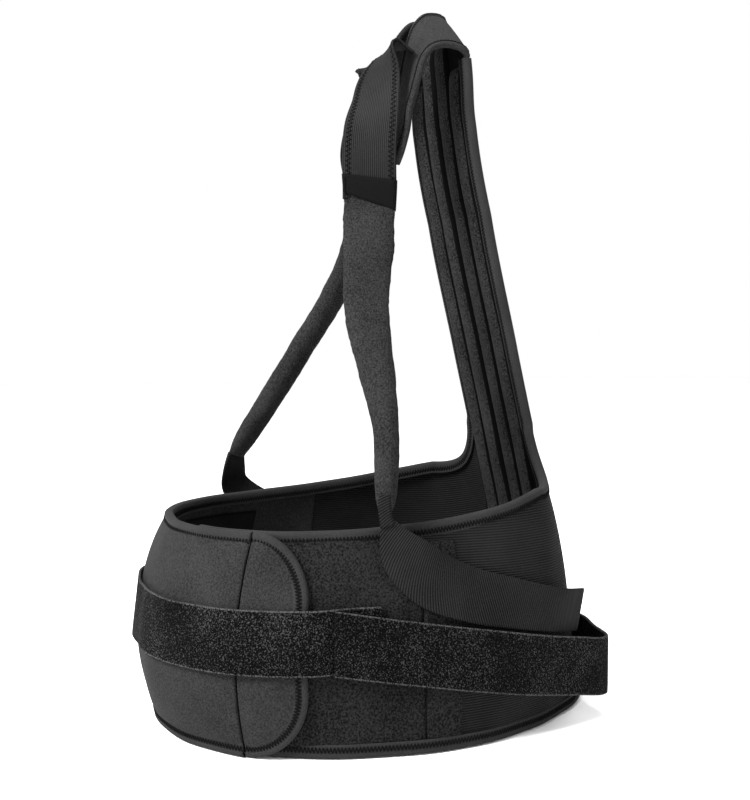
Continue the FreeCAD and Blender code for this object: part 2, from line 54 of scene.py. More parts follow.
# ---- Driving dimensions, as in the design ---------------------------------------------------
PANEL_THICK = 5.0
ELASTIC_THICK = 3.6
FRONT_HIGH, BACK_RISE, FRONT_Y, RISE_LENGTH = 158.0, 32.0, -170.0, 300.0
ARMHOLE_R, ARMHOLE_X, ARMHOLE_TURN = 45.0, 105.0, 1.49
BACK_TOP, SHOULDER_LOW, SHOULDER_HALF, NECK_HALF = 558.0, 522.0, 57, 13.0
HIDDEN_END, SIDE_START, OVERLAP = 0.95, 3.78, 6.2
FLAP_SEAM, FLAP_END, FLAP_R, FLAP_MM = 1.90, 2.64, 48.0, 66.0
EDGE_LOW = 2.9             # the lower edge of the panels, inside the folded binding
EDGE_TOP = 0.4             # how far the panels reach into the top binding
TAPE_WIDE = 8.5            # how far the binding reaches over a panel
TAPE_THICK = 0.8
TAPE_NOSE = 2.4            # how far the binding's fold stands past the panel's edge
TAPE_LIFT = 0.4            # how far the long bindings stand off the panels' faces
BAND_WIDE, BAND_THICK = 42, 1.6
PULL_WIDE, PULL_THICK = 46, 2.6
WEB_THICK = 1.8
LEFT_PULL_HIGH, RIGHT_PULL_HIGH = 46, 86        # heights at which the pull straps are sewn on
PULL_SEWN_OUT = 4.5

# ---- Details that only the looks need ----------------------------------------------------------
WAVE_HIGH, RIPPLE_HIGH = 0.7, 0.35      # waviness of the worn belt
STITCH_RADIUS, STITCH_PERIOD = 0.42, 2.6
STITCH_LIFT = 0.25                      # height of a stitch's axis above the tape
FINE_STITCH_RADIUS = 0.26
HOOK_OFF, HOOK_THICK = 0.5, 1.0
SEAM_GAP = 0.01                         # in ring positions, between the flap and its panel
POCKET_HALF = 0.19                      # half width of a side stay pocket, in ring positions
TUCK = 0.1                              # how far the side panels reach under the back panel
PATH_STEP = 3.0

# ---- Outlines: plan of the belt at three heights, then the back panel's profiles -----------------
LOW = [(0, -176), (62, -166), (112, -130), (140, -72), (150, -2), (136, 58), (108, 112), (60, 160), (0, 170)]
MIDDLE = [(0, -188), (64, -178), (114, -138), (138, -78), (144, 0), (138, 70), (110, 118), (60, 142),
          (0, 145)]
TOP = [(0, -166), (55, -157), (98, -122), (120, -68), (128, 0), (122, 62), (98, 104), (58, 122), (0, 124)]
BACK_SIDE = [(0, 170), (96, 145), (192, 124), (300, 99.5), (400, 77), (470, 63.5), (512, 59), (560, 54)]
BACK_BOW = [(0, 10), (96, 3), (192, 2), (300, 2), (400, 2), (470, 2), (512, 1)]
BACK_HALF = [(0, 61.4), (96, 61.2), (192, 58.9), (240, 57.0), (330, 57), (430, 57), (512, 57)]


# ---- Curves and surfaces ----------------------------------------------------------------------
def cubic(a, b, c, d, f):
    """Catmull-Rom curve between b and c."""
    return 0.5 * (2 * b + (c - a) * f + (2 * a - 5 * b + 4 * c - d) * f * f
                  + (3 * b - a - 3 * c + d) * f ** 3)


def profile(table, z):
    """Smooth curve through (height, value) pairs."""
    table = np.array(table, float)
    z = np.asarray(z, float)
    k = np.clip(np.searchsorted(table[:, 0], z) - 1, 0, len(table) - 2)
    f = np.clip((z - table[k, 0]) / (table[k + 1, 0] - table[k, 0]), 0, 1)
    value = table[:, 1]
    last = len(table) - 1
    return cubic(value[np.maximum(k - 1, 0)], value[k], value[k + 1], value[np.minimum(k + 2, last)], f)


def ease(a, b, t):
    f = np.clip((np.asarray(t, float) - a) / (b - a), 0, 1)
    return f * f * (3 - 2 * f)


def ring(half):
    return np.array(half + [(-x, y) for x, y in reversed(half[1:-1])], float)


RINGS = [ring(LOW), ring(MIDDLE), ring(TOP)]


def around(points, s):
    s = np.asarray(s, float)
    k = np.floor(s).astype(int)
    f = (s - k)[..., None]
    a, b, c, d = (points[(k + j) % len(points)] for j in (-1, 0, 1, 2))
    return cubic(a, b, c, d, f)


def top_height(s):
    rise = np.clip((around(RINGS[2], s)[..., 1] - FRONT_Y) / RISE_LENGTH, 0, 1)
    return FRONT_HIGH + BACK_RISE * rise ** 3


def belt_plan(s, z):
    v = (z / top_height(s))[..., None]
    low, middle, top = (around(r, s) for r in RINGS)
    inside = low * (1 - v) * (1 - 2 * v) + middle * 4 * v * (1 - v) + top * v * (2 * v - 1)
    above = top + (low - 4 * middle + 3 * top) * (v - 1)
    return np.where(v <= 1, inside, above)


def belt(s, z, out=0.0):
    """Point on the belt at ring position s (0 front, 4 left, 8 back, 12 right), height z."""
    s, z, out = np.broadcast_arrays(*(np.asarray(q, float) for q in (s, z, out)))
    p = belt_plan(s, z)
    t = belt_plan(s + 0.04, z) - belt_plan(s - 0.04, z)
    t /= np.linalg.norm(t, axis=-1, keepdims=True)
    out = (out + WAVE_HIGH * np.sin(2.3 * s + 0.02 * z) * np.sin(0.024 * z + 0.9 * s)
           + RIPPLE_HIGH * np.sin(7.1 * s - 0.05 * z))
    return np.stack([p[..., 0] + out * t[..., 1], p[..., 1] - out * t[..., 0], z], -1)


def ring_at_x(x):
    """Ring position on the left rear at which the top ring is x from the middle."""
    a, b = 5.0, 7.2
    for _ in range(30):
        middle = (a + b) / 2
        if around(RINGS[2], middle)[0] > x:
            a = middle
        else:
            b = middle
    return a


CORNER = ring_at_x(ARMHOLE_X)


def armhole(angle):
    """Ring positions and heights where the left top edge turns up, by angle from the level."""
    s = np.array([ring_at_x(ARMHOLE_X - ARMHOLE_R * np.sin(a)) for a in np.atleast_1d(angle)])
    return s, top_height(CORNER) + ARMHOLE_R - ARMHOLE_R * np.cos(np.atleast_1d(angle))


def back(x, z, out=0.0):
    """Point on the back panel; out is the distance behind its middle surface."""
    x, z, out = np.broadcast_arrays(*(np.asarray(q, float) for q in (x, z, out)))
    y = profile(BACK_SIDE, z) - profile(BACK_BOW, z) * (x / profile(BACK_HALF, z)) ** 2 + out
    return np.stack([x, y, z], -1)


def outer_layer(s):
    """How far the right half stands off the belt so that it laps over the left one."""
    return OVERLAP * ease(14.2, 16.4, s)


def unit(v):
    return v / np.maximum(np.linalg.norm(v, axis=-1, keepdims=True), 1e-9)


def lengths(points):
    step = np.linalg.norm(np.diff(points, axis=0), axis=1)
    return np.concatenate([[0], np.cumsum(step)])


def through(rows, step):
    """Rows of numbers refined to about step apart; the first three of a row are its position."""
    rows = np.array(rows, float)
    gaps = np.maximum(np.linalg.norm(np.diff(rows[:, :3], axis=0), axis=1), 1e-6)
    slopes = np.diff(rows, axis=0) / gaps[:, None]
    tangents = [slopes[0]]
    for k in range(1, len(rows) - 1):
        f = gaps[k] / (gaps[k - 1] + gaps[k])
        tangents.append(f * slopes[k - 1] + (1 - f) * slopes[k])
    tangents.append(slopes[-1])
    result = []
    for k, gap in enumerate(gaps):
        count = max(1, round(gap / step))
        for j in range(count):
            t = j / count
            result.append((2 * t ** 3 - 3 * t * t + 1) * rows[k]
                          + (t ** 3 - 2 * t * t + t) * gap * tangents[k]
                          + (3 * t * t - 2 * t ** 3) * rows[k + 1]
                          + (t ** 3 - t * t) * gap * tangents[k + 1])
    return np.array(result + [rows[-1]])


# ---- Meshes -------------------------------------------------------------------------------------
def make(name, points, faces, cloth, material, body, nodes=()):
    """Mesh object in metres; cloth is each vertex's place on its fabric, along and across, in mm."""
    mesh = bpy.data.meshes.new(name)
    points = (np.asarray(points, float) + (0, ORIGIN_Y, 0)) * MM
    mesh.from_pydata(points.tolist(), [], faces)
    if cloth is not None:
        layer = mesh.attributes.new("cloth", "FLOAT_VECTOR", "POINT")
        data = np.zeros((len(points), 3))
        data[:, :2] = np.asarray(cloth)[:, :2] * MM
        layer.data.foreach_set("vector", data.ravel())
    mesh.polygons.foreach_set("use_smooth", [True] * len(mesh.polygons))
    mesh.materials.append(material)
    mesh.update()
    obj = bpy.data.objects.new(name, mesh)
    bpy.context.scene.collection.objects.link(obj)
    if body:
        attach(obj, body)
    if nodes:
        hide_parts(*nodes)
    return obj


def slab(outer, inner):
    """Closed mesh between two grids of points: vertices and faces."""
    rows, cols = outer.shape[:2]
    count = rows * cols
    faces = []
    for r in range(rows - 1):
        for c in range(cols - 1):
            a = r * cols + c
            faces.append((a, a + 1, a + cols + 1, a + cols))
            faces.append((count + a, count + a + cols, count + a + cols + 1, count + a + 1))
    rim = list(range(cols)) + [r * cols + cols - 1 for r in range(1, rows)]
    rim += [(rows - 1) * cols + c for c in range(cols - 2, -1, -1)]
    rim += [r * cols for r in range(rows - 2, 0, -1)]
    for a, b in zip(rim, rim[1:] + rim[:1]):
        faces.append((b, a, count + a, count + b))
    return np.concatenate([outer.reshape(-1, 3), inner.reshape(-1, 3)]), faces


def tube(loops):
    """Closed mesh through loops of points, with a flat cap at each end."""
    rows, cols = loops.shape[:2]
    faces = []
    for r in range(rows - 1):
        for c in range(cols):
            d = (c + 1) % cols
            faces.append((r * cols + c, r * cols + d, (r + 1) * cols + d, (r + 1) * cols + c))
    faces.append(tuple(range(cols - 1, -1, -1)))
    faces.append(tuple((rows - 1) * cols + c for c in range(cols)))
    return loops.reshape(-1, 3), faces


def fix_normals(obj):
    mesh = bmesh.new()
    mesh.from_mesh(obj.data)
    bmesh.ops.recalc_face_normals(mesh, faces=mesh.faces)
    mesh.to_mesh(obj.data)
    mesh.free()


def sweep(name, places, across, normal, outline, material, body, nodes=()):
    """Closed band: outline gives (across, normal) pairs, the same for all places or one set each."""
    outline = np.asarray(outline, float)
    if outline.ndim == 2:
        outline = np.repeat(outline[None], len(places), axis=0)
    loops = (places[:, None] + across[:, None] * outline[..., :1] + normal[:, None] * outline[..., 1:2])
    along = np.repeat(lengths(places)[:, None], outline.shape[1], axis=1)
    cloth = np.stack([along.ravel(), outline[..., 0].ravel()], -1)
    points, faces = tube(loops)
    obj = make(name, points, faces, cloth, material, body, nodes)
    fix_normals(obj)
    return obj


def flat_outline(width, thick, count=14, crown=0.0, edge=0.5):
    """Outline of a flat strap: thin, with rounded edges and a slight crown."""
    x = np.linspace(-1, 1, count)
    x = np.sign(x) * np.abs(x) ** 0.9
    half = thick / 2 * (1 - (1 - edge) * np.abs(x) ** 8) + crown * (1 - x * x)
    top = np.stack([x * width / 2, half], -1)
    low = np.stack([x[::-1] * width / 2, -half[::-1]], -1)
    return np.concatenate([top, low])


def band_frames(stations, step, skew=False):
    """Places along a band with their across and normal directions, widths and thicknesses."""
    rows = through([(*c, *w, width, thick) for c, w, width, thick in stations], step)
    places = rows[:, :3]
    along = unit(np.gradient(places, axis=0))
    normal = unit(np.cross(along, unit(rows[:, 3:6])))
    across = unit(rows[:, 3:6]) if skew else unit(np.cross(normal, along))
    return places, across, normal, rows[:, 6], rows[:, 7]


def tape_outline(half, wide):
    """Section of a folded binding: distance in from the edge, and distance off the middle surface."""
    thick, nose = TAPE_THICK, TAPE_NOSE
    legs = [(wide, -0.1), (wide * 0.86, 0.15), (wide * 0.68, -0.12), (wide * 0.5, 0.1), (wide * 0.32, -0.12),
            (wide * 0.15, 0.12)]
    outer = [(d, half + thick + lift) for d, lift in legs]
    arc = [(-nose * np.cos(a), (half + thick) * np.sin(a)) for a in np.linspace(1.35, -1.35, 9)]
    inner = [(d, -o) for d, o in reversed(outer)]
    skin = [(wide, -half), (wide * 0.5, -half), (0.3, -half), (-nose + thick, 0), (0.3, half),
            (wide * 0.5, half), (wide, half)]
    return outer + arc + inner + skin


def zigzag(name, places, inward, normal, middle, reach, height, period, body, radius=STITCH_RADIUS):
    """Zigzag of thread lying on a surface: middle and reach are across the path, height above it."""
    length = lengths(places)
    count = max(2, int(length[-1] / (period / 2)))
    t = np.linspace(0, length[-1], count)
    pick = lambda v: np.stack([np.interp(t, length, v[:, k]) for k in range(3)], -1)
    p, w, n = pick(places), unit(pick(inward)), unit(pick(normal))
    d = middle + reach * np.where(np.arange(count) % 2, 1.0, -1.0)
    knots = p + w * d[:, None] + n * height
    return threads(name, knots[:-1], knots[1:], n[:-1], radius, body)


def threads(name, start, end, normal, radius, body):
    """Short rounded stitches from start to end points, sunk at both ends."""
    along = unit(end - start)
    side = unit(np.cross(normal, along))
    rings = []
    for t, lift, size in ((0.0, -0.35, 0.6), (0.22, 0.25, 1.0), (0.78, 0.25, 1.0), (1.0, -0.35, 0.6)):
        centre = start + (end - start) * t + normal * (lift * radius * 1.4)
        rings.append(np.stack([centre + (side * np.cos(a) + normal * np.sin(a)) * radius * size
                               for a in np.linspace(0, 2 * pi, 6)[:-1]], 1))
    block = np.stack(rings, 1)
    count, rows, cols = block.shape[:3]
    faces = []
    for k in range(count):
        base = k * rows * cols
        for r in range(rows - 1):
            for c in range(cols):
                d = (c + 1) % cols
                a = base + r * cols
                faces.append((a + c, a + d, a + cols + d, a + cols + c))
        faces.append(tuple(base + c for c in range(cols - 1, -1, -1)))
        faces.append(tuple(base + (rows - 1) * cols + c for c in range(cols)))
    return make(name, block.reshape(-1, 3), faces, None, MATERIALS["thread"], body)


def bound_edge(name, places, normal, half, body, nodes=(), inward_hint=(0, 0, -1), wide=TAPE_WIDE,
               look="binding"):
    """Folded binding along an edge, with zigzag stitching on both its faces."""
    along = unit(np.gradient(places, axis=0))
    inward = unit(np.cross(normal, along))
    if np.sum(inward[len(inward) // 2] * np.asarray(inward_hint)) < 0:
        inward = -inward
    sweep(name, places, inward, normal, tape_outline(half, wide), MATERIALS[look], body, nodes)
    for side, label in ((1, "outer"), (-1, "inner")):
        zigzag(f"{name}_stitch_{label}", places, inward, normal * side, wide * 0.52, wide * 0.27,
               half + TAPE_THICK + STITCH_LIFT, STITCH_PERIOD, body)


# ---- Materials ----------------------------------------------------------------------------------
def material(name, dark, light, roughness, grain_mm, bump_mm, sheen, ribs=None, speckle=0.5, weave=None,
             shift=0.0, selvedges_and_rib_shade=None):
    """Fabric: fine grain, colour variation, and ribs or a weave that follow the cloth's own run.

    ribs is (pitch in mm, share across, share along, depth in mm); weave is (pitch in mm, depth in mm);
    shift moves the tone towards dark or light; selvedges_and_rib_shade is (how far across they start in mm,
    their tone, how much of the pile they lose): on the pile they are its lighter selvedges, on the ribs
    painted shade down their sides.
    """
    mat = bpy.data.materials.new(name)
    mat.use_nodes = True
    tree = mat.node_tree
    nodes, links = tree.nodes, tree.links
    shader = nodes["Principled BSDF"]
    shader.inputs["Roughness"].default_value = roughness
    shader.inputs["Specular IOR Level"].default_value = 0.04
    shader.inputs["Sheen Weight"].default_value = sheen
    shader.inputs["Sheen Roughness"].default_value = 0.45
    shader.inputs["Sheen Tint"].default_value = (1, 1, 1, 1)
    place = nodes.new("ShaderNodeTexCoord").outputs["Object"]

    def node(kind, **settings):
        made = nodes.new(kind)
        for key, value in settings.items():
            setattr(made, key, value)
        return made

    def math(operation, a, b=None):
        made = node("ShaderNodeMath", operation=operation)
        for socket, value in zip(made.inputs, (a, b)):
            if value is None:
                continue
            if isinstance(value, (int, float)):
                socket.default_value = value
            else:
                links.new(value, socket)
        return made.outputs[0]

    def noise_at(scale_mm, detail):
        made = node("ShaderNodeTexNoise")
        made.inputs["Scale"].default_value = 1 / (scale_mm * MM)
        made.inputs["Detail"].default_value = detail
        links.new(place, made.inputs["Vector"])
        return made.outputs["Fac"]

    grain = noise_at(grain_mm, 3.0)
    patches = noise_at(38.0, 2.0)
    height = math("MULTIPLY", grain, bump_mm)
    tone = math("ADD", math("MULTIPLY", math("SUBTRACT", grain, 0.5), 2.2 * speckle),
                math("MULTIPLY", math("SUBTRACT", patches, 0.5), 0.8))
    tone = math("ADD", tone, shift)
    if ribs or weave or selvedges_and_rib_shade:
        split = node("ShaderNodeSeparateXYZ")
        links.new(node("ShaderNodeAttribute", attribute_name="cloth").outputs["Vector"], split.inputs[0])
        along, across = split.outputs[0], split.outputs[1]
    if ribs:
        pitch, by_across, by_along, depth = ribs
        slant = math("ADD", math("MULTIPLY", across, by_across), math("MULTIPLY", along, by_along))
        phase = math("MULTIPLY", slant, 2 * pi / (pitch * MM))
        wave = math("SINE", phase)
        height = math("ADD", height, math("MULTIPLY", wave, depth / 2))
        # The ribs' grooves are painted darker and their crests lighter, following their height: painted shade
        # and painted highlight.
        tone = math("ADD", tone, math("MULTIPLY", wave, 0.45))
    if weave:
        pitch, depth = weave
        warp = math("SINE", math("MULTIPLY", across, 2 * pi / (pitch * MM)))
        weft = math("SINE", math("MULTIPLY", along, 2 * pi / (pitch * MM)))
        knit = math("MULTIPLY", warp, weft)
        height = math("ADD", height, math("MULTIPLY", knit, depth / 2))
        tone = math("ADD", tone, math("MULTIPLY", knit, 0.3))
    # Past a given distance across, the tone is shifted and the bump flattened: lighter selvedges on the pile,
    # painted shade down the ribs' sides.
    if selvedges_and_rib_shade:
        start, shade, flatter = selvedges_and_rib_shade
        selvedge_and_shade_band = math("GREATER_THAN", math("ABSOLUTE", across), start * MM)
        tone = math("ADD", tone, math("MULTIPLY", selvedge_and_shade_band, shade))
        height = math("MULTIPLY", height, math("SUBTRACT", 1.0, math("MULTIPLY", selvedge_and_shade_band, flatter)))
    ramp = node("ShaderNodeMix", data_type="RGBA")
    ramp.clamp_factor = True
    links.new(math("ADD", tone, 0.5), ramp.inputs["Factor"])
    ramp.inputs["A"].default_value = (*dark, 1)
    ramp.inputs["B"].default_value = (*light, 1)
    links.new(ramp.outputs["Result"], shader.inputs["Base Color"])
    bump = node("ShaderNodeBump")
    bump.inputs["Strength"].default_value = 1.0
    bump.inputs["Distance"].default_value = MM
    links.new(height, bump.inputs["Height"])
    links.new(bump.outputs["Normal"], shader.inputs["Normal"])
    return mat


def grey(level, tint=1.03):
    return (level, level, level * tint)


MATERIALS = {
    "cover": material("brushed_knit", grey(0.0065), grey(0.022), 0.85, 1.3, 0.50, 0.01, speckle=1.2,
                      weave=(1.1, 0.08)),
    "plush": material("loop_plush", grey(0.002), grey(0.014), 0.95, 1.5, 1.00, 0.005, speckle=1.6),
    # The ribs' sides, past 9 mm from a rib's middle, are painted much darker: painted shade where they turn
    # down into the grooves.
    "lining": material("napped_lining", grey(0.0012), grey(0.022), 0.9, 1.3, 0.90, 0.01, speckle=1.5,
                       selvedges_and_rib_shade=(9.0, -1.6, 0.6)),
    # Near-black sheet for the back panel's lining: painted shade in the grooves between the ribs.
    "painted_groove_shade": material("painted_shade_between_ribs", grey(0.0004), grey(0.001), 0.9, 1.0, 0.25, 0.0),
    "fleece": material("strap_fleece", grey(0.005), grey(0.022), 0.9, 1.3, 0.50, 0.01, speckle=1.3),
    "pile": material("curly_pile", grey(0.0005), grey(0.045), 0.9, 1.1, 1.3, 0.0, speckle=2.0, shift=-0.6,
                     selvedges_and_rib_shade=(21.9, 0.7, 0.8)),
    "binding": material("binding_knit", grey(0.010), grey(0.025), 0.8, 0.9, 0.15, 0.01, speckle=0.8,
                        weave=(0.9, 0.12)),
    "elastic": material("ribbed_elastic", grey(0.0025), grey(0.012), 0.75, 0.8, 0.08, 0.0,
                        ribs=(1.9, 1, 0, 0.35)),
    "band": material("ribbed_band", grey(0.004), grey(0.017), 0.7, 0.8, 0.08, 0.0, ribs=(1.5, 1, 0, 0.25)),
    "webbing": material("diagonal_webbing", grey(0.0012), grey(0.014), 0.65, 0.7, 0.06, 0.0,
                        ribs=(1.8, 0.45, 0.9, 0.45)),
    "tab": material("woven_tape", grey(0.0015), grey(0.004), 0.7, 0.6, 0.08, 0.0, weave=(0.8, 0.12)),
    "hook": material("hook_tape", grey(0.0005), grey(0.004), 0.6, 0.9, 0.4, 0.0, speckle=1.5),
    "thread": material("thread", grey(0.001), grey(0.003), 0.6, 0.5, 0.03, 0.0),
}


# ---- Belt -----------------------------------------------------------------------------------------
def puff(distance, high, reach):
    """How far padding stands up at a distance from the seam that holds it down."""
    return high * (1 - np.exp(-np.maximum(distance, 0) / reach))


def belt_skin(name, s, low, high, out, thick, look, nodes, body=ROOT, rows=72, crown=0.0, seams=(),
              reach=7.0):
    """Closed layer on the belt between heights low and high, held down along its edges and seams.

    crown is how far its padding stands up, and reach how far from a seam it takes to get there.
    """
    s = np.asarray(s, float)
    f = np.linspace(0, 1, rows)
    low, high, out = (np.broadcast_to(q, s.shape) for q in (low, high, out))
    z = low[:, None] + (high - low)[:, None] * f
    S = np.repeat(s[:, None], rows, 1)
    along = lengths(belt(s, np.full_like(s, 80.0)))
    hold = np.minimum(z - low[:, None], high[:, None] - z)
    for seam in seams:
        gap = np.abs(along - np.interp(seam, s, along))[:, None]
        hold = np.minimum(hold, gap + 0 * z)
    rise = puff(hold, 1.0, reach)
    outer = belt(S, z, out[:, None] + thick / 2 + crown * (rise - 0.6))
    inner = belt(S, z, out[:, None] - thick / 2)
    points, faces = slab(outer, inner)
    cloth = np.stack([np.repeat(along[:, None], rows, 1).ravel(), z.ravel()], -1)
    obj = make(name, points, faces, np.concatenate([cloth, cloth]), MATERIALS[look], body, nodes)
    fix_normals(obj)
    return obj


def belt_edge_path(s, z, out):
    """Places and normals along an edge of the belt."""
    places = belt(s, z, out)
    return places, unit(belt(s, z, np.asarray(out) + 1) - places)


def top_binding(side, s, arm, arm_z, out, mirror):
    """Binding along a half's top edge, its armhole curve and the back panel's side."""
    places, normal = belt_edge_path(np.concatenate([s, arm]), np.concatenate([top_height(s), arm_z]), out)
    rise = np.linspace(arm_z[-1] + 8, SHOULDER_LOW, 60)
    x = mirror * profile(BACK_HALF, rise)
    up = back(x, rise)
    up_normal = unit(back(x, rise, 1) - up)
    path = np.concatenate([np.concatenate([places, up]), np.concatenate([normal, up_normal])], 1)
    path = through(path, PATH_STEP)
    bound_edge(side + "_top_binding", path[:, :3], unit(path[:, 3:]), PANEL_THICK / 2 + TAPE_LIFT, ROOT,
               [f"{side}_{part}_binding" for part in ("top", "armhole", "back")])


def build_belt():
    seam = 16 + FLAP_SEAM - SEAM_GAP
    left = np.linspace(HIDDEN_END, SIDE_START + 0.02, 110)
    belt_skin("left_front_panel", left, EDGE_LOW, top_height(left) + EDGE_TOP, 0, PANEL_THICK, "plush",
              ["left_front_panel"], crown=0.9, seams=[3.8])
    right = np.linspace(16 - SIDE_START - 0.02, seam, 240)
    belt_skin("right_front_panel", right, EDGE_LOW, top_height(right) + EDGE_TOP, outer_layer(right),
              PANEL_THICK, "cover", ["right_front_panel", "closure_stay", "closure_stay_pocket"],
              crown=1.9, seams=[seam, 12.2], reach=10.0)
    # Side panels: level, then turned up into the armholes, then tucked under the back panel.
    level = np.linspace(SIDE_START, CORNER, 90)[:-1]
    turn_s, turn_z = armhole(np.linspace(0, ARMHOLE_TURN, 40))
    s = np.concatenate([level, turn_s, [turn_s[-1] + TUCK]])
    high = np.concatenate([top_height(level), turn_z, turn_z[-1:]]) + EDGE_TOP
    for side, positions in (("left", s), ("right", 16 - s)):
        belt_skin(side + "_side_elastic", positions, EDGE_LOW, high, 0, ELASTIC_THICK, "elastic",
                  [side + "_side_elastic"], crown=0.8, seams=[positions[0]])
    arm_s, arm_z = armhole(np.linspace(0.02, ARMHOLE_TURN, 36))
    top_binding("left", np.linspace(HIDDEN_END, CORNER, 150), arm_s, arm_z, 0, 1)
    top_right = np.linspace(seam, 16 - CORNER, 260)
    top_binding("right", top_right, 16 - arm_s, arm_z,
                np.concatenate([outer_layer(top_right), 0 * arm_s]), -1)
    for side, first, last in (("left", HIDDEN_END, 8.0), ("right", 8.0, seam)):
        s = np.linspace(first, last, 300)
        places, normal = belt_edge_path(s, np.full_like(s, EDGE_LOW), outer_layer(s))
        bound_edge(side + "_bottom_binding", places, normal, PANEL_THICK / 2 + TAPE_LIFT, ROOT,
                   [side + "_bottom_binding"], inward_hint=(0, 0, 1))
    # Hook patch behind the front, and stay pockets at the sides.
    s = np.linspace(13.0, 16 + FLAP_SEAM - 0.02, 120)
    belt_skin("closure_hook_patch", s, 16.0, 142.0, outer_layer(s) - PANEL_THICK / 2 - HOOK_OFF, HOOK_THICK,
              "hook", ["closure_hook_patch"], rows=40)
    for side, middle in (("left", 4.0), ("right", 12.0)):
        s = np.linspace(middle - POCKET_HALF, middle + POCKET_HALF, 18)
        belt_skin(side + "_side_stay_pocket", s, 11.0, 152.0, ELASTIC_THICK / 2 + 1.2, 1.8, "plush",
                  [side + "_side_stay_pocket", side + "_side_stay"], crown=0.8, reach=2.5,
                  seams=[middle - POCKET_HALF, middle + POCKET_HALF])


def flap_outline():
    """Rounded edge of the flap, from its seam to its tip: ring positions, lower and upper heights."""
    reach = FLAP_R / FLAP_MM
    turn = np.linspace(0, pi / 2, 60)
    s = FLAP_END - reach + reach * np.sin(turn)
    cut = FLAP_R * (1 - np.cos(turn))
    return s, EDGE_LOW + cut, top_height(s) - cut


def build_flap():
    s, low, high = flap_outline()
    belt_skin("front_flap", s, low, high, OVERLAP, PANEL_THICK, "cover", ["front_flap"],
              body="front_flap", crown=1.9, seams=[s[0]], reach=9.0)
    belt_skin("flap_hook_patch", s[:-8], low[:-8] + 10, high[:-8] - 10, OVERLAP - PANEL_THICK / 2 - HOOK_OFF,
              HOOK_THICK, "hook", ["flap_hook_patch"], body="front_flap", rows=40)
    edge_s = np.concatenate([s, np.full(12, s[-1]), s[::-1]])
    edge_z = np.concatenate([low, np.linspace(low[-1], high[-1], 14)[1:-1], high[::-1]])
    places, normal = belt_edge_path(edge_s, edge_z, OVERLAP)
    path = through(np.concatenate([places, normal], 1), 2.5)
    keep = np.concatenate([[True], np.linalg.norm(np.diff(path[:, :3], axis=0), axis=1) > 0.3])
    path = path[keep]
    bound_edge("flap_binding", path[:, :3], unit(path[:, 3:]), PANEL_THICK / 2 - 0.2, "front_flap",
               inward_hint=(0.4, -1, 0))


# ---- Back panel -----------------------------------------------------------------------------------
# Each rib's centre line, half width and top.
RIBS = [(-38.5, 10.4, 518), (-14.0, 11.4, 541), (14.0, 11.4, 541), (38.5, 10.4, 518)]
RIB_LOW, RIB_HIGH = 8, 5.8
PATCH_HEIGHTS, PATCH_HALF = (192, 228), 52


def back_half(z):
    """Half width of the back panel, narrowing to the neck above the shoulders."""
    slope = (SHOULDER_HALF - NECK_HALF) / (BACK_TOP - SHOULDER_LOW)
    return np.minimum(profile(BACK_HALF, z), SHOULDER_HALF - slope * (z - SHOULDER_LOW))


def build_back():
    sloping = np.linspace(SHOULDER_LOW, BACK_TOP, 14)[1:]
    z = np.concatenate([np.linspace(EDGE_LOW, SHOULDER_LOW, 170), sloping])
    half = back_half(z)
    f = np.linspace(-1, 1, 60)
    X = half[:, None] * f
    Z = np.repeat(z[:, None], len(f), 1)
    sink = 0.5 * np.exp(-((1 - np.abs(f)) * SHOULDER_HALF / 6) ** 2)
    for name, front, behind, look, slot, nodes in (
            ("back_outer_cover", -0.2, 2.8, "cover", "cover", ["back_outer_cover", "back_foam"]),
            # The lining shows between the ribs and is painted near black: painted shade in the grooves.
            ("back_lining", -2.5, -0.3, "painted_groove_shade", "lining", ["back_lining"])):
        outer = back(X, Z, behind - sink * (behind > 0))
        inner = back(X, Z, front + sink * (front < -1))
        points, faces = slab(outer, inner)
        cloth = np.stack([Z.ravel(), X.ravel()], -1)
        obj = make(name, points, faces, np.concatenate([cloth, cloth]), MATERIALS[look], ROOT, nodes)
        fix_normals(obj)
    for k, (x, wide, top) in enumerate(RIBS, 1):
        z = np.linspace(RIB_LOW, top, 230)
        g = np.linspace(-1, 1, 25)
        end = puff(np.minimum(z - RIB_LOW, top - z), 1.0, 4.0)[:, None]
        wobble = np.array([noise.noise(Vector((k * 7.3, q * 0.018, 0))) for q in z])[:, None]
        shape = (1 - np.abs(g) ** 2.8) ** 0.6
        high = (RIB_HIGH + 0.6 * wobble) * shape * end
        X = x + wide * g + 0.9 * wobble + 0 * end
        Z = np.repeat(z[:, None], len(g), 1)
        points, faces = slab(back(X, Z, -2.2), back(X, Z, -2.4 - high))
        cloth = np.stack([Z.ravel(), (X - x).ravel()], -1)
        obj = make(f"back_rib_{k}", points, faces, np.concatenate([cloth, cloth]), MATERIALS["lining"],
                   ROOT, [f"back_rib_{k}", f"back_stay_{k}"])
        fix_normals(obj)
    z = np.linspace(*PATCH_HEIGHTS, 24)
    g = np.linspace(-PATCH_HALF, PATCH_HALF, 50)
    X, Z = np.meshgrid(g, z)
    points, faces = slab(back(X, Z, 5.0), back(X, Z, 2.7))
    cloth = np.stack([X.ravel(), Z.ravel()], -1)
    obj = make("back_fastening_patch", points, faces, np.concatenate([cloth, cloth]), MATERIALS["hook"],
               ROOT, ["back_fastening_patch"])
    fix_normals(obj)


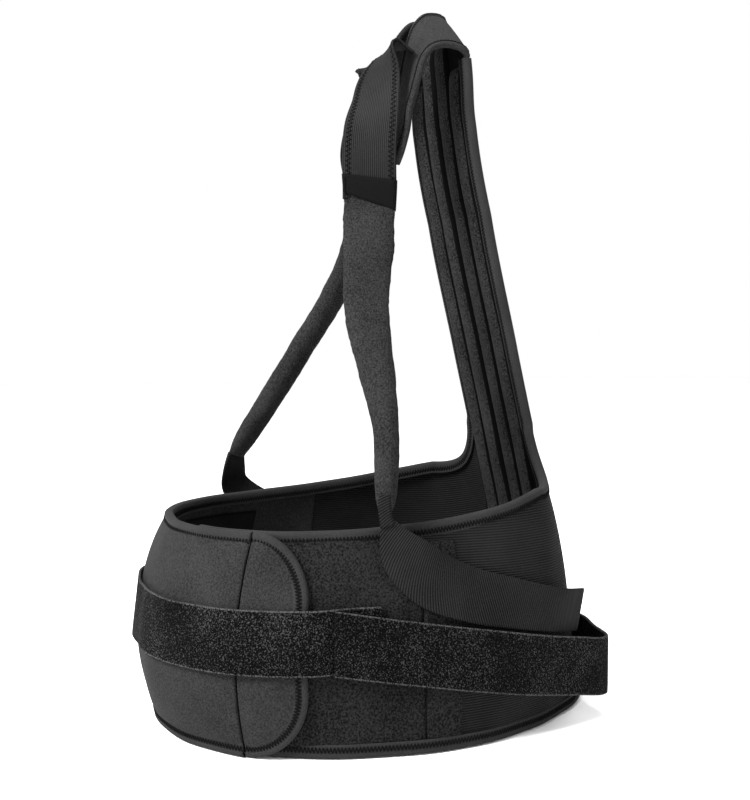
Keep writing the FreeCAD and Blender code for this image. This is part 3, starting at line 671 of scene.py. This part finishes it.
# ---- Shoulders ------------------------------------------------------------------------------------
YOKE = [
    ((35.4, 55.6, 540.6), (0.774, 0.049, -0.633), 57, 4),
    ((37.2, 54.0, 543.5), (0.774, 0.04, -0.633), 57, 4),
    ((37.6, 50.5, 545.8), (0.78, 0.02, -0.625), 57, 4),
    ((37.2, 45.0, 547.0), (0.79, 0.01, -0.61), 56.5, 4),
    ((36.8, 38.0, 546.6), (0.81, 0, -0.59), 56, 4),
    ((38, 28.5, 541.0), (0.86, -0.03, -0.51), 53, 4),
    ((40.3, 20.5, 528), (0.93, -0.08, -0.36), 50, 4),
    ((42, 15, 510), (0.956, -0.09, -0.28), 47, 4),
    ((44.5, 10.8, 495), (0.97, -0.08, -0.24), 42, 4),
    ((48, 6.3, 479), (0.98, -0.05, -0.19), 32, 4),
    ((51.5, 2, 461), (0.95, 0.25, -0.1), 19, 4),
    ((57, -6.5, 436), (0.6, 0.8, 0), 9, 4),
]
RIGHT_YOKE = YOKE[:8] + [
    ((43.5, 12.5, 495), (0.97, -0.08, -0.24), 40, 4),
    ((43, 13.5, 479), (0.98, -0.05, -0.19), 30, 4),
    ((42.5, 15, 461), (0.98, 0, -0.1), 18, 4),
    ((42, 16, 440), (1, 0, 0), 9, 4),
]
LEFT_ELASTIC = [
    ((39.5, 17.2, 528.5), (0.93, -0.1, -0.35), BAND_WIDE, BAND_THICK),
    ((36, 1, 531), (0.95, -0.17, 0.1), BAND_WIDE, BAND_THICK),
    ((36, -9, 511), (0.86, 0.49, 0.15), BAND_WIDE, BAND_THICK),
    ((47, -17, 487), (0.72, 0.68, 0.08), BAND_WIDE, BAND_THICK),
    ((55, -24, 458), (0.38, 0.92, 0), BAND_WIDE, BAND_THICK),
    ((55, -24.5, 408), (0.34, 0.94, 0), BAND_WIDE, BAND_THICK),
]
RIGHT_ELASTIC = [
    ((-39.5, 17.2, 528.5), (-0.93, -0.1, -0.35), BAND_WIDE, BAND_THICK),
    ((-36, 9, 530.5), (-0.95, 0.22, 0.1), BAND_WIDE, BAND_THICK),
    ((-38, 6, 511), (-0.95, 0.28, 0.1), BAND_WIDE, BAND_THICK),
    ((-46, 0, 487), (-0.8, 0.6, 0), BAND_WIDE, BAND_THICK),
    ((-50, 2, 458), (-0.45, 0.9, 0), BAND_WIDE, BAND_THICK),
    ((-50, 11, 424), (-0.34, 0.94, 0), BAND_WIDE, BAND_THICK),
]
LEFT_STRAP = [
    ((54.9, -24.5, 416), (0.34, 0.94, 0), 38, 3),
    ((55.2, -24.8, 403), (0.34, 0.94, 0), 39, 3.8),
    ((57.0, -25.5, 395), (0.34, 0.94, 0), 40, 9),
    ((63, -28, 375), (0.34, 0.94, 0), 39, 12),
    ((85, -37, 314), (0.34, 0.94, 0), 33, 15),
    ((105, -37, 277), (0.34, 0.94, 0), 27, 17),
    ((125, -37, 233), (0.34, 0.94, 0), 19, 18),
    ((134, -40, 200), (0.34, 0.94, 0), 17, 17),
    ((138, -42, 180), (0.34, 0.94, 0), 12, 9),
    ((139.5, -42.5, 174), (0.34, 0.94, 0), 7, 5),
]
RIGHT_STRAP = [
    ((-49.9, 10.8, 431), (-0.34, 0.94, 0), 38, 3),
    ((-50.6, 11.2, 417), (-0.34, 0.94, 0), 39, 3.8),
    ((-53, 11, 409), (-0.34, 0.94, 0), 40, 9),
    ((-60, 10, 394), (-0.34, 0.94, 0), 38, 12),
    ((-72, 6, 373), (-0.34, 0.94, 0), 32, 15),
    ((-85, -3, 347), (-0.34, 0.94, 0), 26, 17),
    ((-100, -35, 289), (-0.34, 0.94, 0), 22, 19),
    ((-115, -69, 230), (-0.34, 0.94, 0), 21, 18),
    ((-122, -84, 204), (-0.34, 0.94, 0), 20, 13),
    ((-125, -89, 193.5), (-0.34, 0.94, 0), 17, 6),
]


def mirrored(stations):
    return [((-c[0], c[1], c[2]), (-w[0], w[1], w[2]), *rest) for c, w, *rest in stations]


def strap(name, stations, look, body, nodes=(), step=3.0, crown=0.0, columns=16, edge=0.5, skew=False):
    """Flat strap through stations."""
    places, across, normal, width, thick = band_frames(stations, step, skew)
    outline = np.stack([flat_outline(w, t, columns, crown, edge) for w, t in zip(width, thick)])
    return sweep(name, places, across, normal, outline, MATERIALS[look], body, nodes)


def edge_zigzag(name, stations, inset, reach, height=1.0, period=3.6):
    """Zigzag rows along both edges of a band, on both its faces."""
    places, across, normal, width, _ = band_frames(stations, PATH_STEP)
    for side, edge in ((-1, "front"), (1, "rear")):
        row = places + across * ((width / 2 - inset) * side)[:, None]
        for face, label in ((1, "outer"), (-1, "inner")):
            zigzag(f"{name}_{edge}_{label}", row, across, normal * face, 0, reach, height, period, ROOT,
                   radius=FINE_STITCH_RADIUS)


def build_shoulders():
    for side, yoke, elastic in (("left", YOKE, LEFT_ELASTIC), ("right", mirrored(RIGHT_YOKE), RIGHT_ELASTIC)):
        strap(side + "_yoke", yoke, "cover", ROOT, [side + "_yoke"], crown=0.6, columns=24,
              step=2.0, skew=True)
        places, across, normal, width, _ = band_frames(yoke, 2.0, skew=True)
        for edge, label in ((-1, "inner"), (1, "outer")):
            row = places + across * (width / 2 * edge - 0.5 * edge)[:, None]
            bound_edge(f"{side}_yoke_{label}_binding", row, normal, 1.7, ROOT, wide=4.4, look="cover",
                       inward_hint=tuple(-edge * across[len(row) // 2]))
        strap(side + "_shoulder_elastic", elastic, "band", ROOT, [side + "_shoulder_elastic"],
              columns=24)
        edge_zigzag(side + "_shoulder_zigzag", elastic, 4.5, 2.2)


def padded_tube(name, stations, nodes, seed):
    """Padded strap of oval section, uneven as its filling is."""
    places, across, normal, width, thick = band_frames(stations, PATH_STEP)
    around_it = np.linspace(0, 2 * pi, 41)[:-1]
    x, y = np.cos(around_it), np.sin(around_it)
    shape = np.stack([np.sign(x) * np.abs(x) ** 0.85, np.sign(y) * np.abs(y) ** 0.95], -1)
    outline = shape[None] * np.stack([width / 2, thick / 2], -1)[:, None]
    for k in range(len(places)):
        for j in range(len(x)):
            broad = noise.noise(Vector((x[j] * 1.2 + seed, y[j] * 1.2, k * 0.16)))
            fine = noise.noise(Vector((x[j] * 2.0 + seed, y[j] * 2.0, k * 0.7)))
            outline[k, j] *= 1 + 0.06 * broad + 0.035 * fine
    obj = sweep(name, places, across, normal, outline, MATERIALS["fleece"], None, nodes)
    return obj


def build_straps():
    for side, stations, elastic, seed in (("left", LEFT_STRAP, LEFT_ELASTIC, 1.0),
                                          ("right", RIGHT_STRAP, RIGHT_ELASTIC, 5.0)):
        obj = padded_tube(side + "_strap_cover", stations,
                          [side + "_strap_cover", side + "_strap_foam"], seed)
        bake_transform(obj)
        end, across, *_ = elastic[-1]
        tab = [(tuple(np.array(end, float) + (0, 0, lift)), tuple(unit(np.array(across) + (0, 0, slant))),
                43.5, 5.4)
               for lift, slant in ((17, -0.12), (12, -0.18), (6, -0.26), (-2, -0.36))]
        strap(side + "_strap_tab", tab, "tab", ROOT, [side + "_strap_tab"], edge=0.7,
              skew=True)
        edge_zigzag(side + "_tab_stitch", tab, 2.4, 0.7, height=2.9, period=1.8)


# ---- Tails and pull straps --------------------------------------------------------------------------
def laid(s, z, out, width, thick):
    """Station of a strap that lies along the belt, tilted as the belt is there."""
    return tuple(belt(s, z, out)), tuple(unit(belt(s, z + 10) - belt(s, z - 10))), width, thick


def build_tails():
    left = [
        ((139.8, -42.3, 171), (0.34, 0.94, 0), 7, 4),
        ((141.5, -39, 162), (0.3, 0.9, 0.2), 18, 2.5),
        ((145, -32, 148), (0.2, 0.6, 0.7), 34, WEB_THICK),
        ((147.5, -18, 133), (0.1, 0.3, 0.9), 41, WEB_THICK),
        laid(4.3, 112.5, 6.3, 40, WEB_THICK),
        laid(4.75, 104, 6.3, 37.5, WEB_THICK),
        laid(5.15, 97.5, 6.5, 35, WEB_THICK),
        ((133, 104, 92), (0, 0.2, 1), 34, WEB_THICK),
        ((119, 128, 87.5), (0, 0.2, 1), 34, WEB_THICK),
    ]
    right = [
        ((-125.2, -88.8, 196), (-0.34, 0.94, 0), 16, 4),
        ((-128.5, -90, 181), (-0.34, 0.93, 0.1), 23, 2.2),
        ((-134, -89, 168), (-0.3, 0.9, 0.3), 27, WEB_THICK),
        laid(12.85, 145, 9.0, 30, WEB_THICK),
        laid(12.5, 137, 8.0, 36, WEB_THICK),
        laid(12.0, 132, 7.2, 40, WEB_THICK),
        laid(11.3, 130, 6.5, 42, WEB_THICK),
    ]
    for side, stations in (("left", left), ("right", right)):
        strap(side + "_tail_webbing", stations, "webbing", side + "_tail",
              [side + "_tail_webbing"], columns=30, edge=0.7)
    # The webbing is folded round the left strap's end.
    fold = [
        ((138.2, -42.6, 190), (0.34, 0.94, 0), 9, 8),
        ((138.9, -43.2, 182), (0.34, 0.94, 0), 10, 8.5),
        ((139.9, -43.0, 174), (0.34, 0.94, 0), 9.5, 6.5),
        ((141.3, -41.5, 166), (0.34, 0.9, 0.1), 11, 4),
    ]
    strap("left_fold", fold, "webbing", "left_shoulder_strap", step=1.5, columns=12, edge=0.4)


def pull(s, z, out):
    return laid(s, z, out, PULL_WIDE, PULL_THICK)


def pull_free(x, y, z, tilt=(0, 0, 1)):
    return (x, y, z), tilt, PULL_WIDE, PULL_THICK


def pull_sewn(x, z):
    """Station of a pull strap where it is sewn to the outside of the back panel."""
    return pull_free(*back(x, z, PULL_SEWN_OUT), tuple(unit(back(x, z + 10) - back(x, z - 10))))


def pull_strap(name, stations):
    """Pull strap in one piece from the back panel to its free end."""
    return strap(name, stations, "pile", None, [name, name + "_rear"], step=1.6, columns=60,
                 edge=0.8, skew=True)


def build_pull_straps():
    rear = [pull_sewn(28, LEFT_PULL_HIGH), pull_sewn(42, LEFT_PULL_HIGH), pull_free(64, 161, 45.5),
            pull_free(90, 157, 43.5), pull_free(117.6, 153.0, 41)]
    front = [pull_free(122.0, 147.3, 41.5), pull_free(131, 124, 46), pull_free(140, 98, 51),
             pull(5.0, 56.5, 9.0), pull(4.6, 62, 8.4), pull(4.2, 67.5, 8.2), pull(3.8, 73, 8.2),
             pull(3.5, 77.5, 8.4), pull(3.25, 81.5, 10.2), pull(2.95, 86, 13.4)]
    obj = pull_strap("left_pull_strap", rear + front)
    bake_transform(obj)
    start = [pull_sewn(x, RIGHT_PULL_HIGH) for x in (-28, -43, -58)]
    # Round the side it lifts a little over the stay pocket at position 12.
    side = [pull(s, RIGHT_PULL_HIGH, 4.6 + 1.2 * np.exp(-((s - 12) / 0.35) ** 2) + outer_layer(s))
            for s in np.linspace(9.5, 16.2, 30)]
    over = [pull(s, RIGHT_PULL_HIGH, OVERLAP + 5.0 - 6.4 * ease(2.75, 3.2, s))
            for s in (0.38, 0.6, 1.0, 1.4, 1.8, 2.2, 2.5, 2.75, 2.9, 3.05, 3.2, 3.4)]
    obj = pull_strap("right_pull_strap", start + side + over)
    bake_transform(obj)
    for name in ("left_pull_strap", "right_pull_strap"):
        rough = bpy.data.objects[name].modifiers.new("pile", "DISPLACE")
        texture = bpy.data.textures.new(name + "_pile", "CLOUDS")
        texture.noise_scale = 2.2 * MM
        texture.noise_depth = 2
        rough.texture = texture
        rough.strength = 1.6 * MM
        rough.mid_level = 0.5


# ---- Stage ------------------------------------------------------------------------------------------
FLOOR_HALF = 6
AIM = Vector((0, 0, 0.25))
# Each light's name, place, size and power.
LIGHTS = [
    ("key", (0.6, -1.7, 1.7), 0.7, 130),
    ("fill", (1.9, 0.9, 1.0), 1.2, 6),
    ("top", (0.0, 0.2, 2.2), 1.4, 36),
]
CAMERA_LENS, CAMERA_SENSOR = 54, 36
CAMERA_AZIMUTH, CAMERA_DISTANCE, CAMERA_HEIGHT = radians(70), 1.0, 0.305
CAMERA_TILT = atan(68 / 1200)


def build_stage():
    mesh = bpy.data.meshes.new("floor")
    mesh.from_pydata([(x * FLOOR_HALF, y * FLOOR_HALF, 0) for x, y in ((-1, -1), (1, -1), (1, 1), (-1, 1))],
                     [], [(0, 1, 2, 3)])
    paper = bpy.data.materials.new("floor_paper")
    paper.use_nodes = True
    paper.node_tree.nodes["Principled BSDF"].inputs["Base Color"].default_value = (0.97, 0.97, 0.97, 1)
    paper.node_tree.nodes["Principled BSDF"].inputs["Roughness"].default_value = 0.9
    mesh.materials.append(paper)
    floor = bpy.data.objects.new("floor", mesh)
    bpy.context.scene.collection.objects.link(floor)
    world = bpy.data.worlds.new("studio")
    bpy.context.scene.world = world
    world.use_nodes = True
    world.node_tree.nodes["Background"].inputs["Color"].default_value = (1, 1, 1, 1)
    world.node_tree.nodes["Background"].inputs["Strength"].default_value = 1.0
    for name, place, size, power in LIGHTS:
        light = bpy.data.lights.new(name, "AREA")
        light.size = size
        light.energy = power
        lamp = bpy.data.objects.new(name, light)
        lamp.location = place
        lamp.rotation_euler = (AIM - Vector(place)).to_track_quat("-Z", "Y").to_euler()
        bpy.context.scene.collection.objects.link(lamp)


def build_camera():
    data = bpy.data.cameras.new("camera")
    data.sensor_fit = "VERTICAL"
    data.sensor_height = CAMERA_SENSOR
    data.lens = CAMERA_LENS
    camera = bpy.data.objects.new("camera", data)
    camera.location = (CAMERA_DISTANCE * np.sin(CAMERA_AZIMUTH),
                       -CAMERA_DISTANCE * np.cos(CAMERA_AZIMUTH) + ORIGIN_Y * MM, CAMERA_HEIGHT)
    camera.rotation_euler = (pi / 2 - CAMERA_TILT, 0, CAMERA_AZIMUTH)
    bpy.context.scene.collection.objects.link(camera)
    bpy.context.scene.camera = camera
    bpy.context.scene.view_settings.view_transform = "Standard"


build_belt()
build_flap()
build_back()
build_shoulders()
build_straps()
build_tails()
build_pull_straps()
build_stage()
build_camera()
